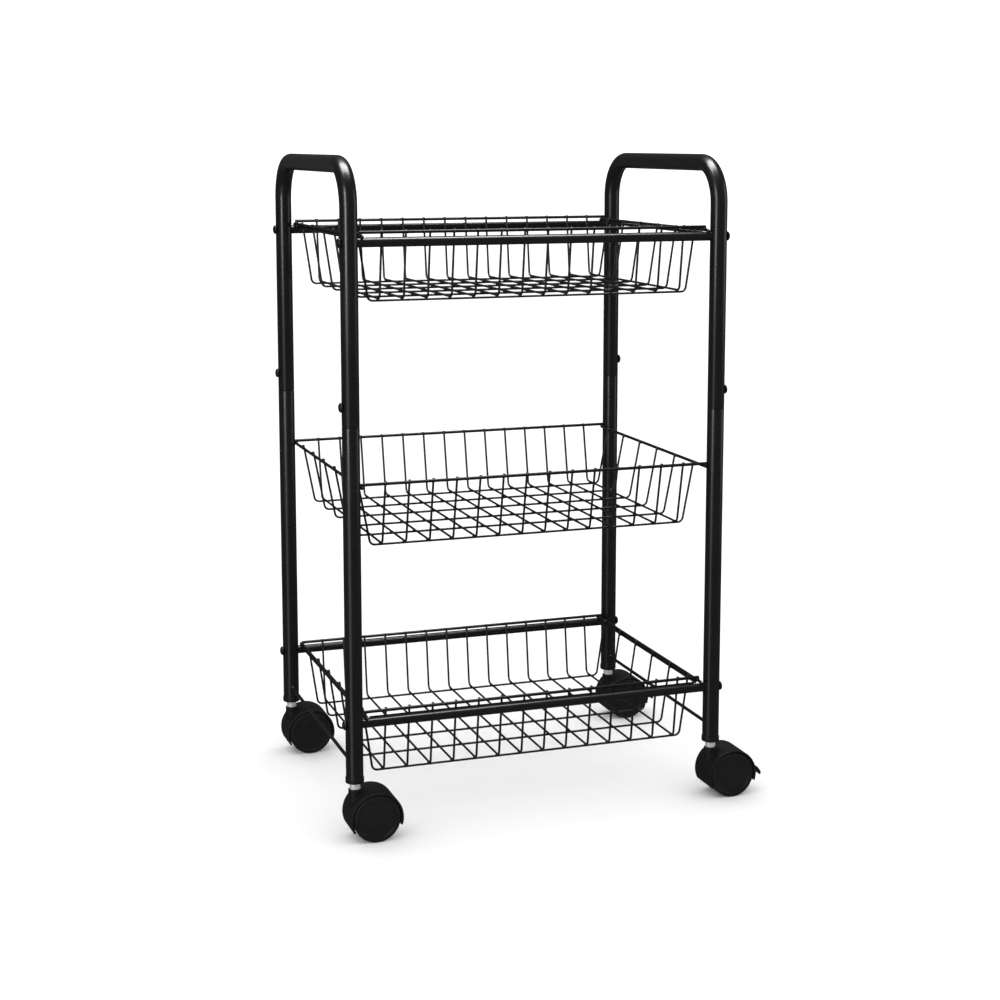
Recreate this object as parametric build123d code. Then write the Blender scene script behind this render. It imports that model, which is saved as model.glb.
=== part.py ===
from build123d import *
import os
from math import asin, atan2, cos, hypot, radians, sin, sqrt

# A rolling pantry cart: two tube hoops on four lower posts carry three wire baskets
# and stand on four twin-wheel casters.  Millimetres.  The origin is on the floor,
# midway between the four posts; +X runs along the long side and +Z is up.

# Posts and hoops: 19 mm steel tube, the upper tube sleeved over a swaged lower post
POST_SPACING_X = 424.0
POST_SPACING_Y = 308.0
POST_RADIUS = 9.5
TUBE_WALL = 1.0
POST_FOOT_Z = 70.0
POST_JOINT_Z = 452.4
HOOP_TOP_Z = 726.7
HOOP_BEND_RADIUS = 45.0
SWAGE_LENGTH = 40.0
SWAGE_CLEARANCE = 0.05
SWAGE_STEP = 3.0

# Rails between the posts, with a threaded insert in each end
TOP_RAIL_Z = 645.8
BOTTOM_RAIL_Z = 128.3
RAIL_RADIUS = 5.0
RAIL_WALL = 1.0
INSERT_LENGTH = 15.0
INSERT_SETBACK = 0.5

# Cross-head screws
SCREW_RADIUS = 2.5
SCREW_HOLE_RADIUS = 2.6
SCREW_HEAD_RADIUS = 5.25
SCREW_HEAD_HEIGHT = 3.6
SCREW_HEAD_FILLET = 2.0
RECESS_LENGTH = 5.6
RECESS_WIDTH = 1.2
RECESS_DEPTH = 1.8
JOINT_SCREW_Z = 473.4
JOINT_SCREW_REACH = 8.0

# Side rods between the post feet
SIDE_ROD_Z = 81.8
SIDE_ROD_RADIUS = 2.0
SIDE_ROD_PLUG = 0.9
FIT_CLEARANCE = 0.05

# Basket wires
WIRE_RADIUS = 1.25
RIM_RADIUS = 1.75
SECOND_RIM_RADIUS = 2.5
WIRE_BEND_RADIUS = 6.0
WIRE_TIP = 2.4
FRONT_BACK_COUNT = 14
FRONT_BACK_PITCH = 26.75
LEFT_RIGHT_COUNT = 6
LEFT_RIGHT_PITCH = 50.8
FLOOR_HALF_X = 184.6

# The middle basket plugs into the posts; the other two rest on the rails
MIDDLE_RIM_Z = 389.6
MIDDLE_FLOOR_Z = 318.2
MIDDLE_FLOOR_HALF_Y = 136.5
MIDDLE_RIM_PLUG = 2.0
RAILED_FLOOR_DROP = 63.2
RAILED_FLOOR_HALF_Y = 134.5
RAILED_RIM_HALF_Y = 147.25
RAILED_RIM_HALF_X = 199.5
RAILED_SIDE_RIM_X = 198.1
SECOND_RIM_HALF_X = 193.0
SECOND_SIDE_RIM_HALF_Y = 143.0
SIDE_RIM_HOOK_ANGLE = 40.0

# Sockets in the post feet and the caster stems
COLLAR_RADIUS = 10.2
COLLAR_HEIGHT = 6.0
COLLAR_EDGE = 0.8
SOCKET_HEIGHT = 34.0
SOCKET_CLEARANCE = 0.08
STEM_RADIUS = 4.0
STEM_TOP_Z = 99.0
STEM_SHOULDER_RADIUS = 5.9
STEM_FOOT_Z = 34.0
GRIP_RING_Z = 92.0
GRIP_RING_HEIGHT = 3.0
GRIP_RING_RADIUS = 4.9
GRIP_GROOVE_RADIUS = 3.4
RING_SLIT = 1.6
RETAINER_Z = 35.5
RETAINER_HEIGHT = 1.0
RETAINER_RADIUS = 5.2

# Casters: twin wheels under a plastic hood, all trailing towards +X
WHEEL_RADIUS = 26.0
WHEEL_INNER_Y = 7.8
WHEEL_OUTER_Y = 20.1
WHEEL_EDGE = 1.6
WHEEL_FACE_RADIUS = 21.0
WHEEL_FACE_DEPTH = 0.4
WHEEL_RECESS_RADIUS = 20.5
WHEEL_RECESS_DEPTH = 7.0
WHEEL_HUB_RADIUS = 6.5
CASTER_TRAIL = 20.0
AXLE_RADIUS = 3.0
AXLE_HALF_LENGTH = 17.0
HOOD_RADIUS = 29.4
HOOD_INNER_RADIUS = 26.9
HOOD_HALF_WIDTH = 20.6
HOOD_FRONT_LIP_ANGLE = 207.0
HOOD_REAR_LIP_ANGLE = -18.0
HOOD_EDGE = 0.8
WEB_HALF_WIDTH = 3.0
WEB_HUB_RADIUS = 6.0
WEB_HUB_HALF_WIDTH = 7.4
BOSS_RADIUS = 7.2
BOSS_TOP_Z = 56.5
BOSS_FOOT_Z = 32.0
BOSS_COUNTERBORE_RADIUS = 5.6
BOSS_COUNTERBORE_DEPTH = 5.0
TOOTH_SIZE = (1.0, 3.6, 1.4)
SHOULDER_GAP = 0.3

# Brake lever: two arms either side of the hood's web, and a tab behind the hood
LEVER_PIVOT_X = 18.7
LEVER_PIVOT_Z = 3.3
LEVER_PIN_RADIUS = 1.2
LEVER_EYE_RADIUS = 2.4
LEVER_ARM_INNER_Y = 3.4
LEVER_ARM_OUTER_Y = 6.4
LEVER_ARM_END_X = 33.0
LEVER_ARM_HALF_HEIGHT = 1.8
LEVER_TAB_HALF_WIDTH = 12.0
LEVER_TAB_TOP = [(31.8, 0.8), (31.8, 5.2), (34.2, 4.7), (37.2, 1.9), (40.2, -2.8)]
LEVER_TAB_UNDERSIDE = [(39.8, -6.2), (37.8, -6.0), (36.8, -3.0), (34.6, -0.2)]
LEVER_TAB_EDGE = 0.7
LEVER_SLOT_HALF_WIDTH = 6.9
LEVER_SLOT_LOW = -5.0
LEVER_SLOT_HIGH = 8.4

# Worked out from the sizes above
POST_X = POST_SPACING_X / 2
POST_Y = POST_SPACING_Y / 2
TUBE_BORE = POST_RADIUS - TUBE_WALL
SWAGE_RADIUS = TUBE_BORE - SWAGE_CLEARANCE
SWAGE_BORE = SWAGE_RADIUS - TUBE_WALL
POST_INNER_X = POST_X - POST_RADIUS
POST_OUTER_X = POST_X + POST_RADIUS
RAIL_BORE = RAIL_RADIUS - RAIL_WALL
SIDE_RIM_RISE = RAIL_RADIUS + RIM_RADIUS
MIDDLE_SIDE_RIM_X = POST_INNER_X - RIM_RADIUS
COLLAR_Z = POST_FOOT_Z - COLLAR_HEIGHT
SOCKET_RADIUS = TUBE_BORE - SOCKET_CLEARANCE
SOCKET_BORE = STEM_RADIUS + SOCKET_CLEARANCE

CORNERS = {
    "front_left": (-1, -1),
    "front_right": (1, -1),
    "rear_left": (-1, 1),
    "rear_right": (1, 1),
}
BRAKED = ("front_right", "rear_right")


def save(name, solids):
    """Write one node, as a single solid or as a group of separate solids."""
    shape = solids[0] if len(solids) == 1 else Compound(children=solids)
    export_step(shape, f"parts/{name}.step")


def rod_along(axis, radius, start, end, across=(0, 0, 0)):
    """A round bar along X, Y or Z between two coordinates of that axis."""
    turn = {"x": Rotation(0, 90, 0), "y": Rotation(-90, 0, 0), "z": Rotation(0, 0, 0)}[axis]
    shift = {"x": (start, 0, 0), "y": (0, start, 0), "z": (0, 0, start)}[axis]
    bar = Cylinder(radius, end - start, align=(Align.CENTER, Align.CENTER, Align.MIN))
    return Pos(*across) * Pos(*shift) * turn * bar


def bent_wire(radius, points, bend):
    """A round wire along straight runs joined by bends of one radius."""
    path = FilletPolyline(*points, radius=bend)
    section = Plane(origin=path @ 0, z_dir=path % 0) * Circle(radius)
    return sweep(section, path=path)


def upper_hoop(side):
    """An upside-down U of tube; its legs are the upper halves of two posts."""
    x = side * POST_X
    corners = [(x, -POST_Y, POST_JOINT_Z), (x, -POST_Y, HOOP_TOP_Z)]
    corners += [(x, POST_Y, HOOP_TOP_Z), (x, POST_Y, POST_JOINT_Z)]
    hoop = bent_wire(POST_RADIUS, corners, HOOP_BEND_RADIUS)
    hoop -= bent_wire(TUBE_BORE, corners, HOOP_BEND_RADIUS)
    for y in (-POST_Y, POST_Y):
        hoop -= rod_along("x", SCREW_HOLE_RADIUS, x - POST_RADIUS, x + POST_RADIUS, (0, y, TOP_RAIL_Z))
        outer = sorted((x, side * POST_OUTER_X))
        hoop -= rod_along("x", SCREW_HOLE_RADIUS, *outer, (0, y, JOINT_SCREW_Z))
    return hoop.solid()


def lower_post(side, end):
    """A tube whose top is swaged down to slide into the hoop's leg."""
    x = side * POST_X
    y = end * POST_Y
    swage_top = POST_JOINT_Z + SWAGE_LENGTH
    post = rod_along("z", POST_RADIUS, POST_FOOT_Z, POST_JOINT_Z, (x, y, 0))
    post += rod_along("z", SWAGE_RADIUS, POST_JOINT_Z, swage_top, (x, y, 0))
    post -= rod_along("z", TUBE_BORE, POST_FOOT_Z, POST_JOINT_Z - SWAGE_STEP, (x, y, 0))
    post -= rod_along("z", SWAGE_BORE, POST_JOINT_Z - SWAGE_STEP, swage_top, (x, y, 0))
    post -= rod_along("x", SCREW_HOLE_RADIUS, x - POST_RADIUS, x + POST_RADIUS, (0, y, BOTTOM_RAIL_Z))
    outer = sorted((x, side * POST_OUTER_X))
    post -= rod_along("x", SCREW_RADIUS, *outer, (0, y, JOINT_SCREW_Z))
    inner = sorted((side * POST_INNER_X, x))
    post -= rod_along("x", RIM_RADIUS + FIT_CLEARANCE, *inner, (0, y, MIDDLE_RIM_Z))
    facing = sorted((end * (POST_Y - POST_RADIUS), y))
    post -= rod_along("y", SIDE_ROD_RADIUS + FIT_CLEARANCE, *facing, (x, 0, SIDE_ROD_Z))
    return post.solid()


def side_rod(side):
    """A thin rod that ties the feet of the front and rear posts together."""
    half = POST_Y - POST_RADIUS + SIDE_ROD_PLUG
    return rod_along("y", SIDE_ROD_RADIUS, -half, half, (side * POST_X, 0, SIDE_ROD_Z))


def rail(end, z):
    """A thin tube between two posts, its ends coped to fit round them."""
    y = end * POST_Y
    bar = rod_along("x", RAIL_RADIUS, -POST_X, POST_X, (0, y, z))
    bar -= rod_along("x", RAIL_BORE, -POST_X, POST_X, (0, y, z))
    for side in (-1, 1):
        bar -= rod_along("z", POST_RADIUS, z - POST_RADIUS, z + POST_RADIUS, (side * POST_X, y, 0))
    return bar.solid()


def rail_insert(side, end, z):
    """A threaded plug in the end of a rail, which the rail screw pulls against the post."""
    near = POST_INNER_X - INSERT_SETBACK
    span = sorted((side * near, side * (near - INSERT_LENGTH)))
    plug = rod_along("x", RAIL_BORE, *span, (0, end * POST_Y, z))
    plug -= rod_along("x", SCREW_RADIUS, *span, (0, end * POST_Y, z))
    return plug.solid()


def screw(side, y, z, tip_x):
    """A pan-head screw driven in along X, from outside a post to tip_x."""
    head = Cylinder(SCREW_HEAD_RADIUS, SCREW_HEAD_HEIGHT, align=(Align.CENTER, Align.CENTER, Align.MIN))
    head = fillet(head.edges().group_by(Axis.Z)[-1], SCREW_HEAD_FILLET)
    for turn in (0, 90):
        slot = Box(RECESS_LENGTH, RECESS_WIDTH, RECESS_DEPTH, align=(Align.CENTER, Align.CENTER, Align.MAX))
        head -= Pos(0, 0, SCREW_HEAD_HEIGHT) * Rotation(0, 0, turn) * slot
    head += rod_along("z", SCREW_RADIUS, tip_x - POST_OUTER_X, 0)
    return (Pos(side * POST_OUTER_X, y, z) * Rotation(0, side * 90, 0) * head).solid()


def rail_screws():
    tip = POST_INNER_X - INSERT_LENGTH + INSERT_SETBACK
    heights = (TOP_RAIL_Z, BOTTOM_RAIL_Z)
    return [screw(side, end * POST_Y, z, tip) for z in heights for side, end in CORNERS.values()]


def post_joint_screws():
    tip = POST_OUTER_X - JOINT_SCREW_REACH
    return [screw(side, end * POST_Y, JOINT_SCREW_Z, tip) for side, end in CORNERS.values()]


def leg_slope(floor_half, floor_z, rim_half, rim_z):
    """The lean of a wire's leg, from the floor corner to the inner side of the rim wire."""
    run = rim_half - floor_half
    rise = rim_z - floor_z
    return atan2(rise, run) + asin((RIM_RADIUS + WIRE_RADIUS) / hypot(run, rise))


def wire_outline(floor_half, floor_z, slope, top_z):
    """Half width and height of a U wire's four corners, as (across, up) pairs."""
    top_half = floor_half + (top_z - floor_z) * cos(slope) / sin(slope)
    return [(-top_half, top_z), (-floor_half, floor_z), (floor_half, floor_z), (top_half, top_z)]


def wires_across(axis, count, pitch, outline):
    """Equal U wires side by side: axis is the direction that the U opens across."""
    wires = []
    for number in range(count):
        offset = (number - (count - 1) / 2) * pitch
        if axis == "y":
            points = [(offset, across, up) for across, up in outline]
        else:
            points = [(across, offset, up) for across, up in outline]
        wires.append(bent_wire(WIRE_RADIUS, points, WIRE_BEND_RADIUS).solid())
    return wires


def beside_leg(floor_half, floor_z, slope, radius, height):
    """Distance out from the centre of a bar that touches the outside of a leg at a height."""
    along = (height - floor_z) * cos(slope) / sin(slope)
    return floor_half + along + (radius + WIRE_RADIUS) / sin(slope)


def second_rim_place(floor_half, floor_z, slope, rail_z):
    """Where a bar touches both the outside of the legs and the top of the rail."""
    gap = SECOND_RIM_RADIUS + WIRE_RADIUS
    from_rail_y = floor_half + gap * sin(slope) - POST_Y
    from_rail_z = floor_z - gap * cos(slope) - rail_z
    along = -(from_rail_y * cos(slope) + from_rail_z * sin(slope))
    apart = from_rail_y**2 + from_rail_z**2 - (SECOND_RIM_RADIUS + RAIL_RADIUS) ** 2
    reach = along + sqrt(along**2 - apart)
    return POST_Y + from_rail_y + reach * cos(slope), rail_z + from_rail_z + reach * sin(slope)


def mirrored_bars(axis, radius, half_length, out, z):
    """Two equal bars, one on each side of the middle."""
    bars = []
    for side in (-1, 1):
        across = (0, side * out, z) if axis == "x" else (side * out, 0, z)
        bars.append(rod_along(axis, radius, -half_length, half_length, across))
    return bars


def hooked_side_rim(side, rail_z):
    """A side rim wire that lies on both rails and hooks down over their outer sides."""
    x = side * RAILED_SIDE_RIM_X
    z = rail_z + SIDE_RIM_RISE
    turn = radians(SIDE_RIM_HOOK_ANGLE)
    half_turn = turn / 2
    path = Line((x, -POST_Y, z), (x, POST_Y, z))
    for end in (-1, 1):
        middle = (x, end * (POST_Y + SIDE_RIM_RISE * sin(half_turn)), rail_z + SIDE_RIM_RISE * cos(half_turn))
        tip = (x, end * (POST_Y + SIDE_RIM_RISE * sin(turn)), rail_z + SIDE_RIM_RISE * cos(turn))
        path += ThreePointArc((x, end * POST_Y, z), middle, tip)
    path = Wire(path.edges())
    section = Plane(origin=path @ 0, z_dir=path % 0) * Circle(RIM_RADIUS)
    return sweep(section, path=path).solid()


def basket_wires(tier, floor_z, floor_half_y, rim_half_y, rim_z, side_rim_x):
    """The fourteen front-to-back U wires lie on the six left-to-right ones."""
    side_rim_z = rim_z - 2 * RIM_RADIUS
    upper_floor_z = floor_z + 2 * WIRE_RADIUS
    slope_y = leg_slope(floor_half_y, upper_floor_z, rim_half_y, rim_z)
    slope_x = leg_slope(FLOOR_HALF_X, floor_z, side_rim_x, side_rim_z)
    across_y = wire_outline(floor_half_y, upper_floor_z, slope_y, rim_z + WIRE_TIP)
    across_x = wire_outline(FLOOR_HALF_X, floor_z, slope_x, side_rim_z + WIRE_TIP)
    save(f"{tier}_basket_front_back_wires", wires_across("y", FRONT_BACK_COUNT, FRONT_BACK_PITCH, across_y))
    save(f"{tier}_basket_left_right_wires", wires_across("x", LEFT_RIGHT_COUNT, LEFT_RIGHT_PITCH, across_x))
    return slope_y, slope_x


def middle_basket():
    """Its long rims plug into the posts, and its side rims touch the posts' inner faces."""
    basket_wires("middle", MIDDLE_FLOOR_Z, MIDDLE_FLOOR_HALF_Y, POST_Y, MIDDLE_RIM_Z, MIDDLE_SIDE_RIM_X)
    rim_half = POST_INNER_X + MIDDLE_RIM_PLUG
    save("middle_basket_long_rims", mirrored_bars("x", RIM_RADIUS, rim_half, POST_Y, MIDDLE_RIM_Z))
    side_z = MIDDLE_RIM_Z - 2 * RIM_RADIUS
    side_half = POST_Y + RIM_RADIUS
    save("middle_basket_side_rims", mirrored_bars("y", RIM_RADIUS, side_half, MIDDLE_SIDE_RIM_X, side_z))


def railed_basket(tier, rail_z):
    """A basket hung between two rails by its side rims, with a second rim below the first."""
    floor_z = rail_z - RAILED_FLOOR_DROP
    side_z = rail_z + SIDE_RIM_RISE
    rim_z = side_z + 2 * RIM_RADIUS
    slopes = basket_wires(tier, floor_z, RAILED_FLOOR_HALF_Y, RAILED_RIM_HALF_Y, rim_z, RAILED_SIDE_RIM_X)
    long_rims = mirrored_bars("x", RIM_RADIUS, RAILED_RIM_HALF_X, RAILED_RIM_HALF_Y, rim_z)
    save(f"{tier}_basket_long_rims", long_rims)
    save(f"{tier}_basket_side_rims", [hooked_side_rim(side, rail_z) for side in (-1, 1)])
    upper_floor_z = floor_z + 2 * WIRE_RADIUS
    second_y, second_z = second_rim_place(RAILED_FLOOR_HALF_Y, upper_floor_z, slopes[0], rail_z)
    second = mirrored_bars("x", SECOND_RIM_RADIUS, SECOND_RIM_HALF_X, second_y, second_z)
    save(f"{tier}_basket_second_long_rims", second)
    below_z = side_z - 2 * RIM_RADIUS
    second_x = beside_leg(FLOOR_HALF_X, floor_z, slopes[1], RIM_RADIUS, below_z)
    below = mirrored_bars("y", RIM_RADIUS, SECOND_SIDE_RIM_HALF_Y, second_x, below_z)
    save(f"{tier}_basket_second_side_rims", below)


def stem_socket(x, y):
    """A plastic plug pressed into a post's foot, with a collar that covers the tube's end."""
    collar = rod_along("z", COLLAR_RADIUS, COLLAR_Z, POST_FOOT_Z, (x, y, 0))
    collar = chamfer(collar.edges().group_by(Axis.Z)[0], COLLAR_EDGE)
    collar += rod_along("z", SOCKET_RADIUS, POST_FOOT_Z, COLLAR_Z + SOCKET_HEIGHT + COLLAR_HEIGHT, (x, y, 0))
    collar -= rod_along("z", SOCKET_BORE, COLLAR_Z, STEM_TOP_Z + SOCKET_CLEARANCE, (x, y, 0))
    ring_top = GRIP_RING_Z + GRIP_RING_HEIGHT
    collar -= rod_along("z", GRIP_RING_RADIUS, GRIP_RING_Z, ring_top, (x, y, 0))
    return collar.solid()


def slit_ring(x, y, outer, inner, z, height):
    """A spring ring with a slit."""
    ring = rod_along("z", outer, z, z + height, (x, y, 0))
    ring -= rod_along("z", inner, z, z + height, (x, y, 0))
    ring -= Pos(x, y, z) * Box(outer, RING_SLIT, height, align=(Align.MIN, Align.CENTER, Align.MIN))
    return ring.solid()


def caster_stem(x, y):
    """A plated steel pin: the top snaps into the socket and the hood swivels on its foot."""
    stem = rod_along("z", STEM_RADIUS, STEM_FOOT_Z, STEM_TOP_Z, (x, y, 0))
    stem += rod_along("z", STEM_SHOULDER_RADIUS, BOSS_TOP_Z + SHOULDER_GAP, COLLAR_Z, (x, y, 0))
    for z, height in ((GRIP_RING_Z, GRIP_RING_HEIGHT), (RETAINER_Z, RETAINER_HEIGHT)):
        groove = rod_along("z", STEM_SHOULDER_RADIUS, z, z + height, (x, y, 0))
        groove -= rod_along("z", GRIP_GROOVE_RADIUS, z, z + height, (x, y, 0))
        stem -= groove
    return stem.solid()


def hood_outline(radius):
    """The side view of the hood: a disc with the part below the two lips cut away."""
    span = HOOD_FRONT_LIP_ANGLE - HOOD_REAR_LIP_ANGLE
    arc = CenterArc((0, 0), radius, HOOD_REAR_LIP_ANGLE, span)
    return make_face([arc, Line(arc @ 1, (0, 0)), Line((0, 0), arc @ 0)])


def caster_hood(braked):
    """The hood about its own axle: a shell over both wheels, a web between them, a stem boss."""
    outer = extrude(Plane.XZ * hood_outline(HOOD_RADIUS), HOOD_HALF_WIDTH, both=True)
    hood = outer - rod_along("y", HOOD_INNER_RADIUS, -HOOD_HALF_WIDTH, HOOD_HALF_WIDTH)
    rims = [edge for edge in hood.edges() if edge.geom_type == GeomType.CIRCLE and edge.radius == HOOD_RADIUS]
    hood = chamfer(rims, HOOD_EDGE)
    web = extrude(Plane.XZ * hood_outline(HOOD_RADIUS - HOOD_EDGE), WEB_HALF_WIDTH, both=True)
    web += rod_along("y", WEB_HUB_RADIUS, -WEB_HUB_HALF_WIDTH, WEB_HUB_HALF_WIDTH)
    hood += web
    boss_top = BOSS_TOP_Z - WHEEL_RADIUS
    boss_foot = BOSS_FOOT_Z - WHEEL_RADIUS
    hood += rod_along("z", BOSS_RADIUS, boss_foot, boss_top, (-CASTER_TRAIL, 0, 0))
    tooth = Box(*TOOTH_SIZE, align=(Align.MIN, Align.CENTER, Align.MIN))
    hood += Pos(-CASTER_TRAIL - BOSS_RADIUS, 0, boss_top) * tooth
    hood -= rod_along("z", STEM_RADIUS + FIT_CLEARANCE, -HOOD_RADIUS, boss_top, (-CASTER_TRAIL, 0, 0))
    counterbore_top = boss_foot + BOSS_COUNTERBORE_DEPTH
    hood -= rod_along("z", BOSS_COUNTERBORE_RADIUS, -HOOD_RADIUS, counterbore_top, (-CASTER_TRAIL, 0, 0))
    hood -= rod_along("y", AXLE_RADIUS, -HOOD_HALF_WIDTH, HOOD_HALF_WIDTH)
    if braked:
        pivot = (LEVER_PIVOT_X, 0, LEVER_PIVOT_Z)
        hood -= rod_along("y", LEVER_PIN_RADIUS, -HOOD_HALF_WIDTH, HOOD_HALF_WIDTH, pivot)
        height = LEVER_SLOT_HIGH - LEVER_SLOT_LOW
        width = LEVER_SLOT_HALF_WIDTH - WEB_HALF_WIDTH
        for side in (-1, 1):
            slot = Box(HOOD_RADIUS - LEVER_PIVOT_X, width, height, align=(Align.MIN, Align.CENTER, Align.MIN))
            hood -= Pos(LEVER_PIVOT_X, side * (WEB_HALF_WIDTH + width / 2), LEVER_SLOT_LOW) * slot
    return hood.solid()


def caster_wheel(side):
    """One wheel about its axle, with a blind bore, a hollow inner side and a shallow face."""
    inner = side * WHEEL_INNER_Y
    outer = side * WHEEL_OUTER_Y
    wheel = rod_along("y", WHEEL_RADIUS, *sorted((inner, outer)))
    wheel = fillet(wheel.edges().filter_by(GeomType.CIRCLE), WHEEL_EDGE)
    face = outer - side * WHEEL_FACE_DEPTH
    wheel -= rod_along("y", WHEEL_FACE_RADIUS, *sorted((face, outer)))
    recess = inner + side * WHEEL_RECESS_DEPTH
    hollow = rod_along("y", WHEEL_RECESS_RADIUS, *sorted((inner, recess)))
    hollow -= rod_along("y", WHEEL_HUB_RADIUS, *sorted((inner, recess)))
    wheel -= hollow
    bore_end = side * (AXLE_HALF_LENGTH + SHOULDER_GAP)
    wheel -= rod_along("y", AXLE_RADIUS + FIT_CLEARANCE, *sorted((inner, bore_end)))
    return wheel.solid()


def brake_lever():
    """A foot lever about the caster's axle: two arms on the pivot pin and a curled tab."""
    outline = Polyline(*LEVER_TAB_TOP, *LEVER_TAB_UNDERSIDE, close=True)
    lever = extrude(Plane.XZ * make_face(outline), LEVER_TAB_HALF_WIDTH, both=True)
    lever = fillet(lever.edges().filter_by(Axis.Y), LEVER_TAB_EDGE)
    for side in (-1, 1):
        span = sorted((side * LEVER_ARM_INNER_Y, side * LEVER_ARM_OUTER_Y))
        eye = rod_along("y", LEVER_EYE_RADIUS, *span, (LEVER_PIVOT_X, 0, LEVER_PIVOT_Z))
        length = LEVER_ARM_END_X - LEVER_PIVOT_X
        width = span[1] - span[0]
        arm = Box(length, width, 2 * LEVER_ARM_HALF_HEIGHT, align=(Align.MIN, Align.MIN, Align.CENTER))
        lever += eye + Pos(LEVER_PIVOT_X, span[0], LEVER_PIVOT_Z) * arm
    hole = LEVER_PIN_RADIUS + FIT_CLEARANCE
    lever -= rod_along("y", hole, -LEVER_ARM_OUTER_Y, LEVER_ARM_OUTER_Y, (LEVER_PIVOT_X, 0, LEVER_PIVOT_Z))
    return lever.solid()


def build_frame():
    for name, side in (("left", -1), ("right", 1)):
        save(f"upper_hoop_{name}", [upper_hoop(side)])
    save("side_rods", [side_rod(side) for side in (-1, 1)])
    for name, (side, end) in CORNERS.items():
        save(f"lower_post_{name}", [lower_post(side, end)])
        save(f"stem_socket_{name}", [stem_socket(side * POST_X, end * POST_Y)])
        save(f"caster_stem_{name}", [caster_stem(side * POST_X, end * POST_Y)])
    inserts = []
    for tier, z in (("top", TOP_RAIL_Z), ("bottom", BOTTOM_RAIL_Z)):
        save(f"{tier}_rail_front", [rail(-1, z)])
        save(f"{tier}_rail_rear", [rail(1, z)])
        inserts += [rail_insert(side, end, z) for side, end in CORNERS.values()]
    save("rail_end_inserts", inserts)
    save("rail_screws", rail_screws())
    save("post_joint_screws", post_joint_screws())


def build_rings():
    grips = []
    retainers = []
    for side, end in CORNERS.values():
        place = (side * POST_X, end * POST_Y)
        grips.append(slit_ring(*place, GRIP_RING_RADIUS, GRIP_GROOVE_RADIUS, GRIP_RING_Z, GRIP_RING_HEIGHT))
        retainers.append(slit_ring(*place, RETAINER_RADIUS, GRIP_GROOVE_RADIUS, RETAINER_Z, RETAINER_HEIGHT))
    save("stem_grip_rings", grips)
    save("swivel_retaining_rings", retainers)


def build_casters():
    for name, (side, end) in CORNERS.items():
        place = Pos(side * POST_X + CASTER_TRAIL, end * POST_Y, WHEEL_RADIUS)
        braked = name in BRAKED
        save(f"caster_hood_{name}", [place * caster_hood(braked)])
        axle = rod_along("y", AXLE_RADIUS, -AXLE_HALF_LENGTH, AXLE_HALF_LENGTH)
        save(f"caster_axle_{name}", [place * axle])
        save(f"caster_wheel_{name}_outer", [place * caster_wheel(end)])
        save(f"caster_wheel_{name}_inner", [place * caster_wheel(-end)])
        if braked:
            pin = rod_along("y", LEVER_PIN_RADIUS, -LEVER_ARM_OUTER_Y, LEVER_ARM_OUTER_Y)
            save(f"brake_pin_{name}", [place * Pos(LEVER_PIVOT_X, 0, LEVER_PIVOT_Z) * pin])
            save(f"brake_lever_{name}", [place * brake_lever()])


os.makedirs("parts", exist_ok=True)
build_frame()
build_rings()
middle_basket()
railed_basket("top", TOP_RAIL_Z)
railed_basket("bottom", BOTTOM_RAIL_Z)
build_casters()
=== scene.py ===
from math import asin, atan2, cos, hypot, pi, radians, sin, sqrt, tan

import bmesh
import bpy
from mathutils import Matrix, Vector


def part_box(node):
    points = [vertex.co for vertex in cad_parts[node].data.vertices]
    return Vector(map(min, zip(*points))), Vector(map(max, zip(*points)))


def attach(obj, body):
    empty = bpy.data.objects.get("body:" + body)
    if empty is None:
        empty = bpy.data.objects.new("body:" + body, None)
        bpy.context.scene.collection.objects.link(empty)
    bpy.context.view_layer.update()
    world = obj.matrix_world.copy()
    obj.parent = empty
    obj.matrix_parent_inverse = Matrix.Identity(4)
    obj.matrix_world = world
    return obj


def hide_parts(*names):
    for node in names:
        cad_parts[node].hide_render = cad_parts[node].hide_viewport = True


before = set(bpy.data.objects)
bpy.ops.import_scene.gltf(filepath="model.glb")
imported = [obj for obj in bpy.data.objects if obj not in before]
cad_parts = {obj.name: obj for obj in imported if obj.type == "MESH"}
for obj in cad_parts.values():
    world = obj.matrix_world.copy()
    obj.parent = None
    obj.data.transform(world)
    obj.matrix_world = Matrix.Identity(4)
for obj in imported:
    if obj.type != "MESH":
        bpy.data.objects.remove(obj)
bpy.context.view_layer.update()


# ---- Lower posts --------------------------------------------------------------------------
# Four lower halves of the corner posts: round steel tube, cut square at the foot and swaged
# down at the top so that it slides into the leg of a hoop. Black powder coat, baked on, with
# a soft sheen, a faint orange peel and a little dust on what faces up.

MM = 0.001
CORNERS = {"front_left": (-1, -1), "front_right": (1, -1), "rear_left": (-1, 1), "rear_right": (1, 1)}
TUBE_WALL = 1.0 * MM
TUBE_EDGE = 0.3 * MM
NECK_CLEARANCE = 0.05 * MM
NECK_STEP = 3.0 * MM
SHOULDER_ROUND = 0.8 * MM

hoop_low, hoop_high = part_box("upper_hoop_right")
tube_radius = (hoop_high.x - hoop_low.x) / 2
post_x = hoop_low.x + tube_radius
post_y = hoop_high.y - tube_radius
joint_z = hoop_low.z
post_low, post_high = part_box("lower_post_front_left")
tube_bore = tube_radius - TUBE_WALL
neck_radius = tube_bore - NECK_CLEARANCE
neck_bore = neck_radius - TUBE_WALL
foot_z = post_low.z


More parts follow.
